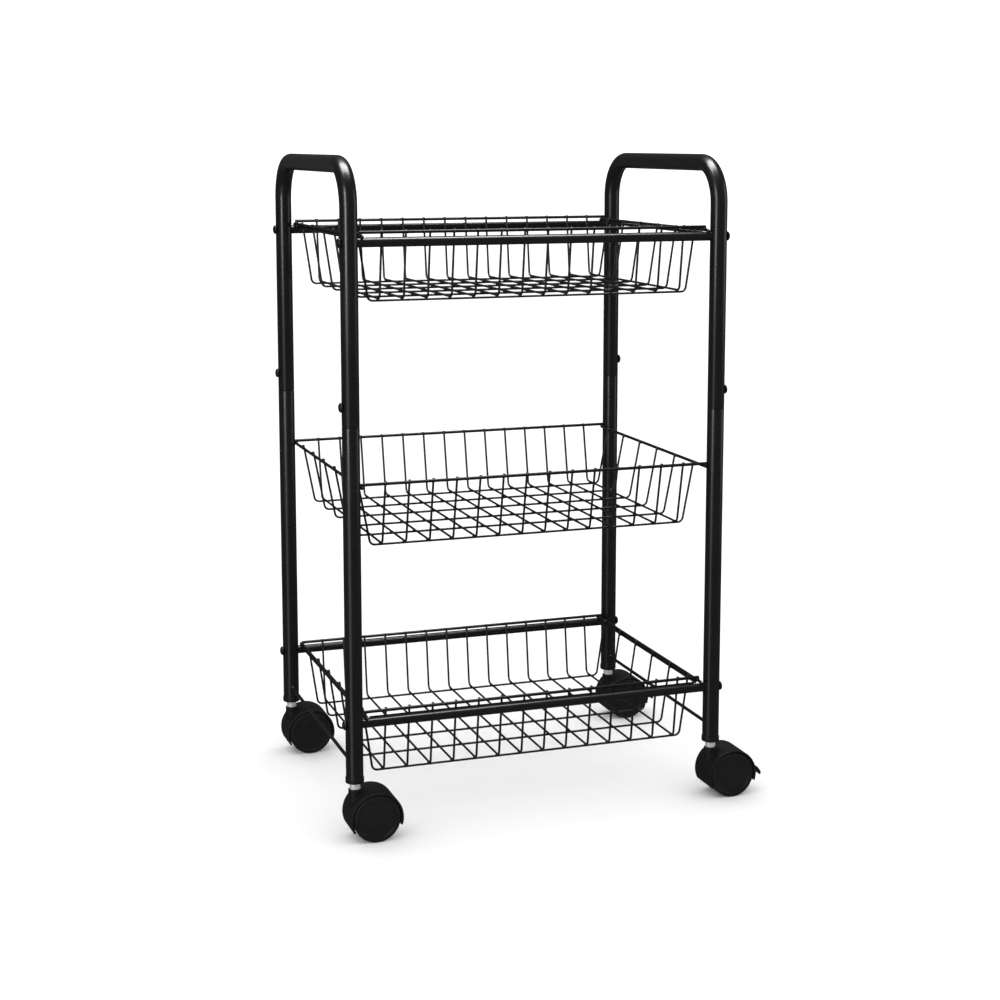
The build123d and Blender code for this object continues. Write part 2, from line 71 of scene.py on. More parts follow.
def make_piece(name, shape, material, sharp_degrees=38):
    """A mesh object from (points, faces), smooth except across its hard edges."""
    points, faces = shape
    mesh = bpy.data.meshes.new(name)
    mesh.from_pydata([tuple(point) for point in points], [], faces)
    tidy = bmesh.new()
    tidy.from_mesh(mesh)
    bmesh.ops.recalc_face_normals(tidy, faces=tidy.faces)
    tidy.to_mesh(mesh)
    tidy.free()
    mesh.shade_smooth()
    mesh.set_sharp_from_angle(angle=radians(sharp_degrees))
    mesh.materials.append(material)
    piece = bpy.data.objects.new(name, mesh)
    bpy.context.scene.collection.objects.link(piece)
    return piece


def fit_piece(piece, body, slot, *nodes):
    """The piece moves with a CAD body and stands for the CAD nodes of the same part."""
    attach(piece, body)
    for node in nodes:
        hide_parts(node)


def together(shapes):
    """Several shapes as one list of points and faces."""
    points = []
    faces = []
    for some_points, some_faces in shapes:
        start = len(points)
        points += some_points
        faces += [[start + index for index in face] for face in some_faces]
    return points, faces


def moved(shape, matrix):
    """A copy of a shape, turned and shifted."""
    return [matrix @ Vector(point) for point in shape[0]], shape[1]


def turned_profile(profile, segments=64):
    """A solid of revolution about Z: the profile is a closed loop, or starts and ends on the axis."""
    points = []
    rings = []
    for radius, height in profile:
        if radius < 1e-7:
            rings.append([len(points)])
            points.append(Vector((0, 0, height)))
            continue
        rings.append(list(range(len(points), len(points) + segments)))
        for step in range(segments):
            angle = 2 * pi * step / segments
            points.append(Vector((radius * cos(angle), radius * sin(angle), height)))
    faces = []
    on_axis = len(rings[0]) == 1 and len(rings[-1]) == 1
    pairs = list(zip(rings, rings[1:])) if on_axis else list(zip(rings, rings[1:] + rings[:1]))
    for lower, upper in pairs:
        for step in range(segments):
            after = (step + 1) % segments
            if len(lower) == 1:
                faces.append([lower[0], upper[after], upper[step]])
            elif len(upper) == 1:
                faces.append([lower[step], lower[after], upper[0]])
            else:
                faces.append([lower[step], lower[after], upper[after], upper[step]])
    return points, faces


def rounded_corner(centre, radius, start_degrees, end_degrees, steps=5):
    """Points of a small arc in a profile."""
    span = range(steps + 1)
    angles = [radians(start_degrees + (end_degrees - start_degrees) * step / steps) for step in span]
    return [(centre[0] + radius * cos(angle), centre[1] + radius * sin(angle)) for angle in angles]


def surface_group(name, values):
    """An empty shader group: its inputs with their first values, and a surface's three outputs."""
    group = bpy.data.node_groups.new(name, "ShaderNodeTree")
    for entry, value in values.items():
        kind = "NodeSocketColor" if entry.endswith("Color") else "NodeSocketFloat"
        socket = group.interface.new_socket(name=entry, in_out="INPUT", socket_type=kind)
        socket.default_value = value
    for outlet, kind in (("Color", "Color"), ("Roughness", "Float"), ("Height", "Float")):
        group.interface.new_socket(name=outlet, in_out="OUTPUT", socket_type=f"NodeSocket{kind}")
    return group


def add_node(tree, kind, values=None, **settings):
    """A new shader node with its settings, and values for the inputs that nothing feeds."""
    node = tree.nodes.new(kind)
    for setting, value in settings.items():
        setattr(node, setting, value)
    for entry, value in (values or {}).items():
        node.inputs[entry].default_value = value
    return node


def wire_up(tree, *links):
    """Join sockets: each link is (from node, output, to node, input)."""
    for source, output, target, entry in links:
        tree.links.new(source.outputs[output], target.inputs[entry])


def coated_surface_group():
    """Sprayed or baked coat: orange peel, uneven sheen, slight cloudiness and settled dust."""
    group = surface_group(
        "coated surface",
        {
            "Coat Color": (0.02, 0.02, 0.021, 1),
            "Dust Color": (0.16, 0.155, 0.15, 1),
            "Peel Scale": 700.0,
            "Sheen Low": 0.26,
            "Sheen High": 0.36,
            "Dust": 0.08,
        },
    )
    given = add_node(group, "NodeGroupInput")
    result = add_node(group, "NodeGroupOutput")
    place = add_node(group, "ShaderNodeTexCoord")
    peel = add_node(group, "ShaderNodeTexNoise", {"Detail": 3.0})
    cloud = add_node(group, "ShaderNodeTexNoise", {"Scale": 22.0, "Detail": 5.0})
    speck = add_node(group, "ShaderNodeTexNoise", {"Scale": 1600.0, "Detail": 2.0})
    speck_mask = add_node(group, "ShaderNodeMapRange", {"From Min": 0.52, "From Max": 0.72})
    facing = add_node(group, "ShaderNodeNewGeometry")
    split = add_node(group, "ShaderNodeSeparateXYZ")
    upward = add_node(group, "ShaderNodeMapRange", {"From Min": 0.35, "From Max": 1.0})
    dusty = add_node(group, "ShaderNodeMath", operation="MULTIPLY")
    dusty_much = add_node(group, "ShaderNodeMath", operation="MULTIPLY")
    cloudy = add_node(group, "ShaderNodeMapRange", {"To Min": 0.75, "To Max": 1.25})
    shade = add_node(group, "ShaderNodeMix", {"Factor": 1.0}, data_type="RGBA", blend_type="MULTIPLY")
    colour = add_node(group, "ShaderNodeMix", data_type="RGBA")
    sheen = add_node(group, "ShaderNodeMapRange", {"From Min": 0.3, "From Max": 0.7})
    rough = add_node(group, "ShaderNodeMath", {1: 0.5}, operation="MULTIPLY_ADD")
    wire_up(
        group,
        (place, "Object", peel, "Vector"),
        (place, "Object", cloud, "Vector"),
        (place, "Object", speck, "Vector"),
        (given, "Peel Scale", peel, "Scale"),
        (facing, "Normal", split, "Vector"),
        (split, "Z", upward, "Value"),
        (speck, "Fac", speck_mask, "Value"),
        (upward, "Result", dusty, 0),
        (speck_mask, "Result", dusty, 1),
        (dusty, "Value", dusty_much, 0),
        (given, "Dust", dusty_much, 1),
        (cloud, "Fac", cloudy, "Value"),
        (cloud, "Fac", sheen, "Value"),
        (given, "Sheen Low", sheen, "To Min"),
        (given, "Sheen High", sheen, "To Max"),
        (given, "Coat Color", shade, 6),
        (cloudy, "Result", shade, 7),
        (shade, 2, colour, 6),
        (given, "Dust Color", colour, 7),
        (dusty_much, "Value", colour, 0),
        (dusty_much, "Value", rough, 0),
        (sheen, "Result", rough, 2),
        (colour, 2, result, "Color"),
        (rough, "Value", result, "Roughness"),
        (peel, "Fac", result, "Height"),
    )
    return group


coated_surface = coated_surface_group()


def cart_finish(name, group, values, bump_distance, bump_strength, metal=0.0, specular=0.5):
    """A Principled material over a surface group; values fill the group's inputs."""
    material = bpy.data.materials.new(name)
    material.use_nodes = True
    tree = material.node_tree
    shader = tree.nodes["Principled BSDF"]
    shader.inputs["Metallic"].default_value = metal
    shader.inputs["Specular IOR Level"].default_value = specular
    surface = add_node(tree, "ShaderNodeGroup", values, node_tree=group)
    bump = add_node(tree, "ShaderNodeBump", {"Strength": bump_strength, "Distance": bump_distance})
    wire_up(
        tree,
        (surface, "Color", shader, "Base Color"),
        (surface, "Roughness", shader, "Roughness"),
        (surface, "Height", bump, "Height"),
        (bump, "Normal", shader, "Normal"),
    )
    return material


powder_coat = cart_finish(
    "black powder coat on tube",
    coated_surface,
    {"Coat Color": (0.0055, 0.0055, 0.006, 1), "Peel Scale": 520.0, "Sheen Low": 0.24, "Sheen High": 0.32},
    bump_distance=0.08 * MM,
    bump_strength=0.2,
)


def fit_in_corners(name, profile, material, slot, node, segments=64, sharp_degrees=38):
    """The same turned piece in all four corners of the frame."""
    shape = turned_profile(profile, segments)
    for corner, (side, end) in CORNERS.items():
        in_place = moved(shape, Matrix.Translation((side * post_x, end * post_y, 0)))
        piece = make_piece(f"{name}_{corner}", in_place, material, sharp_degrees)
        fit_piece(piece, "cart_frame", slot, f"{node}_{corner}")


step_z = joint_z - NECK_STEP
shoulder = (tube_radius - SHOULDER_ROUND, joint_z - SHOULDER_ROUND)
post_profile = [(tube_bore, foot_z), (tube_radius - TUBE_EDGE, foot_z), (tube_radius, foot_z + TUBE_EDGE)]
post_profile += rounded_corner(shoulder, SHOULDER_ROUND, 0, 90)
post_profile += [(neck_radius, joint_z), (neck_radius, post_high.z)]
post_profile += [(neck_bore, post_high.z), (neck_bore, step_z), (tube_bore, step_z)]
fit_in_corners("post_tube", post_profile, powder_coat, "powder_coat", "lower_post")


# ---- Hoops --------------------------------------------------------------------------------
# The two handle hoops: one length of the same tube each, bent twice in a former, which leaves
# it a little flatter than round in the bends. The edge at each lower end is rounded where it
# sleeves over a post. Same black powder coat as the posts.

HOOP_BEND = 45 * MM
BEND_FLATTENING = 0.04
SLEEVE_ROUND = 0.7 * MM
hoop_top_z = hoop_high.z - tube_radius


def bent_route(corners, bend, steps=6):
    """A centre line with each corner rounded to one radius: (point, way, how far into a bend)."""
    corners = [Vector(corner) for corner in corners]
    route = [(corners[0], (corners[1] - corners[0]).normalized(), 0.0)]
    for before, corner, after in zip(corners, corners[1:], corners[2:]):
        inward = (corner - before).normalized()
        outward = (after - corner).normalized()
        turn = inward.angle(outward)
        start = corner - inward * bend * tan(turn / 2)
        sideways = (outward - inward * inward.dot(outward)).normalized()
        for step in range(steps + 1):
            angle = turn * step / steps
            point = start + inward * bend * sin(angle) + sideways * bend * (1 - cos(angle))
            way = inward * cos(angle) + sideways * sin(angle)
            route.append((point, way, sin(pi * step / steps)))
    route.append((corners[-1], (corners[-1] - corners[-2]).normalized(), 0.0))
    return route


def swept_bar(route, radius, across, segments=16, end_round=0.0, bore=0.0, flatten=0.0):
    """A round bar or tube along a flat route; across is square to the route's plane."""
    across = Vector(across)
    turns = [2 * pi * step / segments for step in range(segments)]
    sections = [(point, way, radius, 1 - flatten * bend) for point, way, bend in route]
    if end_round:
        quarter = [radians(degrees) for degrees in (0, 30, 60, 90)]
        ends = []
        for (point, way, _), sign in ((route[0], 1), (route[-1], -1)):
            ends.append([])
            for angle in quarter:
                place = point + sign * way * end_round * (1 - cos(angle))
                ends[-1].append((place, way, radius - end_round * (1 - sin(angle)), 1))
        sections = ends[0] + sections[1:-1] + ends[1][::-1]
    points = []
    faces = []
    skins = (False, True) if bore else (False,)
    for inside in skins:
        start = len(points)
        for place, way, size, squeeze in sections:
            up = across.cross(way)
            size = bore if inside else size
            for angle in turns:
                wide = across * size * cos(angle) / sqrt(squeeze)
                points.append(place + wide + up * size * sin(angle) * squeeze)
        for ring in range(len(sections) - 1):
            for step in range(segments):
                low = start + ring * segments
                after = (step + 1) % segments
                faces.append([low + step, low + after, low + segments + after, low + segments + step])
    final = (len(sections) - 1) * segments
    if bore:
        inner = len(sections) * segments
        for first in (0, final):
            for step in range(segments):
                after = (step + 1) % segments
                faces.append([first + step, first + after, inner + first + after, inner + first + step])
    else:
        faces.append(list(range(segments)))
        faces.append(list(range(final, final + segments)))
    return points, faces


for name, side in (("left", -1), ("right", 1)):
    x = side * post_x
    outline = ((-post_y, joint_z), (-post_y, hoop_top_z), (post_y, hoop_top_z), (post_y, joint_z))
    route = bent_route([(x, y, z) for y, z in outline], HOOP_BEND, steps=24)
    shape = swept_bar(route, tube_radius, (1, 0, 0), 64, SLEEVE_ROUND, tube_bore, BEND_FLATTENING)
    hoop = make_piece(f"handle_hoop_{name}", shape, powder_coat)
    fit_piece(hoop, "cart_frame", "powder_coat", f"upper_hoop_{name}")


# ---- Screws -------------------------------------------------------------------------------
# Twelve pan-head screws with a cross recess, black-zinced steel. Four short ones lock the
# sleeve joints and eight long ones go right through the posts into the ends of the rails.
# All are driven in from the outer sides of the cart.

HEAD_RADIUS = 5.25 * MM
HEAD_HEIGHT = 3.6 * MM
HEAD_RIM = 0.7 * MM
HEAD_EDGE = 0.3 * MM
DOME_FULLNESS = 0.8
SHANK_RADIUS = 2.5 * MM
TIP_SHARE = 0.7
RECESS_TOP = (2.9 * MM, 0.65 * MM)
RECESS_FOOT = (1.5 * MM, 0.4 * MM)
RECESS_DEPTH = 1.9 * MM
JOINT_SCREW_REACH = 8.0 * MM
RAIL_SCREW_GRIP = 14.0 * MM

black_zinc = cart_finish(
    "black zinc on screws",
    coated_surface,
    {
        "Coat Color": (0.009, 0.009, 0.0095, 1),
        "Peel Scale": 1800.0,
        "Sheen Low": 0.22,
        "Sheen High": 0.38,
        "Dust": 0.04,
    },
    bump_distance=0.03 * MM,
    bump_strength=0.3,
    metal=0.35,
)


def worked_shape(piece):
    """The shape that a piece's modifiers leave; the piece itself goes."""
    mesh = piece.evaluated_get(bpy.context.evaluated_depsgraph_get()).to_mesh()
    points = [vertex.co.copy() for vertex in mesh.vertices]
    faces = [list(face.vertices) for face in mesh.polygons]
    bpy.data.objects.remove(piece)
    return points, faces


def carved(shape, cutters):
    """A shape with other closed shapes cut out of it."""
    target = make_piece("uncut", shape, black_zinc)
    tools = [make_piece("cutter", cutter, black_zinc) for cutter in cutters]
    for tool in tools:
        cut = target.modifiers.new("cut", "BOOLEAN")
        cut.operation = "DIFFERENCE"
        cut.solver = "EXACT"
        cut.object = tool
    result = worked_shape(target)
    for tool in tools:
        bpy.data.objects.remove(tool)
    return result


def tapered_block(top, foot, depth):
    """A block with a smaller foot than its top; both are (half length, half width)."""
    points = []
    for (half_length, half_width), z in ((foot, -depth), (top, HEAD_RIM)):
        for u, v in ((-1, -1), (1, -1), (1, 1), (-1, 1)):
            points.append(Vector((u * half_length, v * half_width, z)))
    faces = [[3, 2, 1, 0], [4, 5, 6, 7], [0, 1, 5, 4], [1, 2, 6, 5], [2, 3, 7, 6], [3, 0, 4, 7]]
    return points, faces


def pan_screw(reach):
    """A screw along +Z, its head's underside at the origin and its tip at -reach."""
    profile = [(0, -reach), (SHANK_RADIUS * TIP_SHARE, -reach)]
    profile += [(SHANK_RADIUS, HEAD_RIM - reach), (SHANK_RADIUS, 0)]
    profile += [(HEAD_RADIUS - HEAD_EDGE, 0), (HEAD_RADIUS, HEAD_EDGE)]
    for degrees in range(0, 90, 10):
        angle = radians(degrees)
        dome = HEAD_RIM + (HEAD_HEIGHT - HEAD_RIM) * sin(angle) ** DOME_FULLNESS
        profile.append((HEAD_RADIUS * cos(angle), dome))
    profile.append((0, HEAD_HEIGHT))
    slot = tapered_block(RECESS_TOP, RECESS_FOOT, RECESS_DEPTH)
    head_top = Matrix.Translation((0, 0, HEAD_HEIGHT))
    cutters = [moved(slot, head_top @ Matrix.Rotation(radians(turn), 4, "Z")) for turn in (45, 135)]
    return carved(turned_profile(profile, 40), cutters)


def screws_in_posts(shape, heights):
    """One screw in the outer side of each post at each height."""
    driven = []
    for height in heights:
        for side, end in CORNERS.values():
            place = Matrix.Translation((side * (post_x + tube_radius), end * post_y, height))
            driven.append(moved(shape, place @ Matrix.Rotation(side * pi / 2, 4, "Y")))
    return together(driven)


joint_low, joint_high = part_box("post_joint_screws")
driven = screws_in_posts(pan_screw(JOINT_SCREW_REACH), [(joint_low.z + joint_high.z) / 2])
joint_screws = make_piece("sleeve_joint_screws", driven, black_zinc, 30)
fit_piece(joint_screws, "cart_frame", "black_screw", "post_joint_screws")

rail_heights = {}
for tier in ("top", "bottom"):
    low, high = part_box(f"{tier}_rail_front")
    rail_heights[tier] = (low.z + high.z) / 2
insert_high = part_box("rail_end_inserts")[1]
through_post = post_x + tube_radius - insert_high.x + RAIL_SCREW_GRIP
driven = screws_in_posts(pan_screw(through_post), rail_heights.values())
through_screws = make_piece("long_rail_screws", driven, black_zinc, 30)
fit_piece(through_screws, "cart_frame", "black_screw", "rail_screws")


# ---- Rails and their inserts ----------------------------------------------------------------
# Four thin steel tubes, front and rear, top and bottom, between the posts. Their ends are
# coped to sit round the posts, and a plated threaded plug in each end takes the long screw.
# The tubes are coated like the posts; the plugs are bare plated steel.

ZINC_PALE = (0.82, 0.82, 0.81, 1)
ZINC_DARK = (0.82 * 0.72, 0.82 * 0.72, 0.81 * 0.7, 1)

rail_low, rail_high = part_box("top_rail_front")
rail_radius = (rail_high.z - rail_low.z) / 2
rail_bore = rail_radius - TUBE_WALL


def coped_rail(end, height):
    """A tube along X between two posts, each end point moved out to the post's surface."""
    y = end * post_y
    route = bent_route([(-post_x, y, height), (post_x, y, height)], 0)
    points, faces = swept_bar(route, rail_radius, (0, 1, 0), 48, 0.0, rail_bore)
    for point in points:
        inset = sqrt(tube_radius**2 - (point.y - y) ** 2)
        point.x = (post_x - inset) * (1 if point.x > 0 else -1)
    return points, faces


for tier, height in rail_heights.items():
    for name, end in (("front", -1), ("rear", 1)):
        rail = make_piece(f"rail_{tier}_{name}", coped_rail(end, height), powder_coat)
        fit_piece(rail, "cart_frame", "powder_coat", f"{tier}_rail_{name}")


def plated_material():
    """Bright zinc plate over turned steel: fine rings from the lathe, uneven sheen."""
    material = bpy.data.materials.new("bright zinc plate")
    material.use_nodes = True
    tree = material.node_tree
    shader = tree.nodes["Principled BSDF"]
    shader.inputs["Metallic"].default_value = 0.45
    place = add_node(tree, "ShaderNodeTexCoord")
    rings = add_node(tree, "ShaderNodeTexWave", {"Scale": 900.0, "Distortion": 1.5}, bands_direction="Z")
    patches = add_node(tree, "ShaderNodeTexNoise", {"Scale": 160.0, "Detail": 4.0})
    rough = add_node(tree, "ShaderNodeMapRange", {"To Min": 0.2, "To Max": 0.36})
    tint = add_node(tree, "ShaderNodeMix", {6: ZINC_PALE, 7: ZINC_DARK}, data_type="RGBA")
    bump = add_node(tree, "ShaderNodeBump", {"Strength": 0.25, "Distance": 0.02 * MM})
    wire_up(
        tree,
        (place, "Object", rings, "Vector"),
        (place, "Object", patches, "Vector"),
        (patches, "Fac", rough, "Value"),
        (patches, "Fac", tint, 0),
        (tint, 2, shader, "Base Color"),
        (rough, "Result", shader, "Roughness"),
        (rings, "Fac", bump, "Height"),
        (bump, "Normal", shader, "Normal"),
    )
    return material


bright_zinc = plated_material()


def keep_node(name, material):
    """A CAD part whose shape is right keeps it and takes a finished material."""
    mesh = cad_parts[name].data
    mesh.materials.clear()
    mesh.materials.append(material)


keep_node("rail_end_inserts", bright_zinc)


# ---- Side rods ------------------------------------------------------------------------------
# Two straight steel rods that tie the front and rear posts together just above the casters.
# Each end goes into a hole in the post and is welded there, and the weld shows as a small
# collar under the coat.

WELD_RADIUS = 3.3 * MM
WELD_LENGTH = 2.2 * MM
WELD_SUNK = 0.8 * MM

rod_low, rod_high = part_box("side_rods")
rod_radius = (rod_high.z - rod_low.z) / 2
rod_z = (rod_high.z + rod_low.z) / 2
rod_half = rod_high.y
weld_y = post_y - tube_radius
weld_profile = [(0, -WELD_SUNK), (WELD_RADIUS, -WELD_SUNK)]
for step in range(6):
    along = step / 5
    weld_profile.append((rod_radius + (WELD_RADIUS - rod_radius) * (1 - along) ** 2, WELD_LENGTH * along))
weld_profile.append((0, WELD_LENGTH))
weld_collar = turned_profile(weld_profile, 32)

rods = []
for side in (-1, 1):
    ends = [(side * post_x, end * rod_half, rod_z) for end in (-1, 1)]
    rods.append(swept_bar(bent_route(ends, 0), rod_radius, (1, 0, 0), 24))
    for end in (-1, 1):
        place = Matrix.Translation((side * post_x, end * weld_y, rod_z))
        rods.append(moved(weld_collar, place @ Matrix.Rotation(end * pi / 2, 4, "X")))
side_rods = make_piece("welded_side_rods", together(rods), powder_coat)
fit_piece(side_rods, "cart_frame", "powder_coat", "side_rods")


# ---- Wire baskets ---------------------------------------------------------------------------
# Three open baskets of spot-welded steel wire. Fourteen thin U wires run front to back on top
# of six that run left to right, and their ends are welded inside thicker rim wires. The whole
# basket is coated after welding, so the coat fills in round every crossing.

WIRE_RADIUS = 1.25 * MM
WIRE_BEND = 6 * MM
WIRE_TIP = 2.4 * MM
WIRE_END_ROUND = 0.5 * MM
RIM_END_ROUND = 0.8 * MM
FRONT_BACK_COUNT = 14
LEFT_RIGHT_COUNT = 6
FLOOR_HALF_X = 184.6 * MM
FLOOR_HALF_Y = {"top": 134.5 * MM, "middle": 136.5 * MM, "bottom": 134.5 * MM}
SIDE_RIM_HOOK = radians(40)
RIM_BEAD = (2.3 * MM, 1.5 * MM, 2.3 * MM)
CORNER_BEAD = (2.4 * MM, 2.4 * MM, 1.4 * MM)
FLOOR_BEAD = (1.75 * MM, 1.75 * MM, 1.15 * MM)

wire_coat = cart_finish(
    "black powder coat on wire",
    coated_surface,
    {
        "Coat Color": (0.0045, 0.0045, 0.005, 1),
        "Peel Scale": 1300.0,
        "Sheen Low": 0.3,
        "Sheen High": 0.42,
        "Dust": 0.1,
    },
    bump_distance=0.06 * MM,
    bump_strength=0.25,
)

bead_angles = [radians(degrees) for degrees in (-55, -20, 20, 55)]
bead = turned_profile([(0, -1)] + [(cos(angle), sin(angle)) for angle in bead_angles] + [(0, 1)], 10)


def weld_bead(centre, size, lean=0.0, axis="X"):
    """A small lump of coat over a spot weld."""
    stretch = Matrix.Diagonal((*size, 1))
    return moved(bead, Matrix.Translation(centre) @ Matrix.Rotation(lean, 4, axis) @ stretch)


def leg_lean(run, rise, rim_radius):
    """The lean of a wire's leg from the floor corner to the inner side of its rim wire."""
    return atan2(rise, run) + asin((rim_radius + WIRE_RADIUS) / hypot(run, rise))


def straight_bars(axis, radius, half_length, out, height):
    """Two equal bars along X or Y, one on each side of the middle."""
    bars = []
    for side in (-1, 1):
        if axis == "X":
            ends = [(-half_length, side * out, height), (half_length, side * out, height)]
            across = (0, 1, 0)
        else:
            ends = [(side * out, -half_length, height), (side * out, half_length, height)]
            across = (1, 0, 0)
        bars.append(swept_bar(bent_route(ends, 0), radius, across, 20, RIM_END_ROUND))
    return bars


def hooked_rim(side, rim_radius, out, height):
    """A side rim that lies on both rails and hooks a little way down their outer sides."""
    reach = rail_radius + rim_radius
    x = side * out
    route = []
    for end in (-1, 1):
        bend = []
        for step in range(7):
            angle = SIDE_RIM_HOOK * step / 6
            point = Vector((x, end * (post_y + reach * sin(angle)), height - reach * (1 - cos(angle))))
            way = Vector((0, cos(angle), -end * sin(angle)))
            bend.append((point, way, 0.0))
        route += bend[::-1] if end < 0 else bend
    return swept_bar(route, rim_radius, (1, 0, 0), 20, RIM_END_ROUND)


def u_wires(opens_across, count, extent, floor_half, floor_z, lean, top_z):
    """Equal U wires side by side, spread evenly over extent, and their places."""
    top_half = floor_half + (top_z - floor_z) / tan(lean)
    outline = [(-top_half, top_z), (-floor_half, floor_z), (floor_half, floor_z), (top_half, top_z)]
    wires = []
    places = [extent * (number / (count - 1) - 0.5) for number in range(count)]
    for place in places:
        if opens_across == "Y":
            corners = [(place, out, up) for out, up in outline]
            across = (1, 0, 0)
        else:
            corners = [(out, place, up) for out, up in outline]
            across = (0, 1, 0)
        wires.append(swept_bar(bent_route(corners, WIRE_BEND), WIRE_RADIUS, across, 14, WIRE_END_ROUND))
    return wires, places


def beads_at_rim(opens_across, places, out, height, radius, lean):
    """A bead where each wire's leg touches the inner side of a rim wire."""
    inward = Vector((-sin(lean), cos(lean))) * radius
    beads = []
    for place in places:
        for side in (-1, 1):
            across = side * (out + inward.x)
            up = height + inward.y
            turn = side * (pi / 2 - lean)
            if opens_across == "Y":
                beads.append(weld_bead((place, across, up), RIM_BEAD, -turn, "X"))
            else:
                size = (RIM_BEAD[1], RIM_BEAD[0], RIM_BEAD[2])
                beads.append(weld_bead((across, place, up), size, turn, "Y"))
    return beads


def fit_wires(name, tier, shapes):
    """Wires of a basket that are fitted as one piece."""
    piece = make_piece(f"wire_{name}_{tier}", together(shapes), wire_coat)
    fit_piece(piece, "cart_frame", "wire_coat", f"{tier}_basket_{name}")


for tier, floor_half_y in FLOOR_HALF_Y.items():
    long_low, long_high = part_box(f"{tier}_basket_long_rims")
    side_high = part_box(f"{tier}_basket_side_rims")[1]
    rim_radius = (long_high.z - long_low.z) / 2
    rim_z = long_high.z - rim_radius
    rim_y = long_high.y - rim_radius
    side_rim_x = side_high.x - rim_radius
    side_rim_z = side_high.z - rim_radius
    across_low, across_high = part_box(f"{tier}_basket_left_right_wires")
    along_low, along_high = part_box(f"{tier}_basket_front_back_wires")
    floor_z = across_low.z + WIRE_RADIUS
    upper_floor_z = floor_z + 2 * WIRE_RADIUS
    lean_y = leg_lean(rim_y - floor_half_y, rim_z - upper_floor_z, rim_radius)
    lean_x = leg_lean(side_rim_x - FLOOR_HALF_X, side_rim_z - floor_z, rim_radius)
    extent_x = along_high.x - along_low.x - 2 * WIRE_RADIUS
    extent_y = across_high.y - across_low.y - 2 * WIRE_RADIUS

    tip_z = rim_z + WIRE_TIP
    along, places_x = u_wires("Y", FRONT_BACK_COUNT, extent_x, floor_half_y, upper_floor_z, lean_y, tip_z)
    along += beads_at_rim("Y", places_x, rim_y, rim_z, rim_radius, lean_y)
    tip_z = side_rim_z + WIRE_TIP
    across, places_y = u_wires("X", LEFT_RIGHT_COUNT, extent_y, FLOOR_HALF_X, floor_z, lean_x, tip_z)
    across += beads_at_rim("X", places_y, side_rim_x, side_rim_z, rim_radius, lean_x)
    for x in places_x:
        across += [weld_bead((x, y, floor_z + WIRE_RADIUS), FLOOR_BEAD) for y in places_y]
    fit_wires("front_back_wires", tier, along)
    fit_wires("left_right_wires", tier, across)

    long_rims = straight_bars("X", rim_radius, long_high.x, rim_y, rim_z)
    for side, end in CORNERS.values():
        long_rims.append(weld_bead((side * side_rim_x, end * rim_y, rim_z - rim_radius), CORNER_BEAD))
    fit_wires("long_rims", tier, long_rims)
    if tier == "middle":
        side_rims = straight_bars("Y", rim_radius, side_high.y, side_rim_x, side_rim_z)
    else:
        side_rims = [hooked_rim(side, rim_radius, side_rim_x, side_rim_z) for side in (-1, 1)]
        second_low, second_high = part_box(f"{tier}_basket_second_long_rims")
        second_radius = (second_high.z - second_low.z) / 2
        second_y = second_high.y - second_radius
        second_z = second_high.z - second_radius
        second = straight_bars("X", second_radius, second_high.x, second_y, second_z)
        second += beads_at_rim("Y", places_x, second_y, second_z, second_radius, lean_y)
        fit_wires("second_long_rims", tier, second)
        below_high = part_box(f"{tier}_basket_second_side_rims")[1]
        below_x = below_high.x - rim_radius
        below_z = below_high.z - rim_radius
        below = straight_bars("Y", rim_radius, below_high.y, below_x, below_z)
        below += beads_at_rim("X", places_y, below_x, below_z, rim_radius, lean_x)
        fit_wires("second_side_rims", tier, below)
    fit_wires("side_rims", tier, side_rims)


# ---- Sockets in the post feet -----------------------------------------------------------------
# A moulded nylon plug is pressed into the foot of each post. Its collar covers the cut end of
# the tube and stands out a little from it, and its bore takes the caster's stem.

COLLAR_EDGE = 0.9 * MM
COLLAR_TOP_EDGE = 0.45 * MM
STEM_RADIUS = 4.0 * MM
PLUG_CLEARANCE = 0.08 * MM

socket_low, socket_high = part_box("stem_socket_front_left")
stem_low, stem_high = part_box("caster_stem_front_left")
collar_radius = (socket_high.x - socket_low.x) / 2
socket_radius = tube_bore - PLUG_CLEARANCE
socket_bore = STEM_RADIUS + PLUG_CLEARANCE


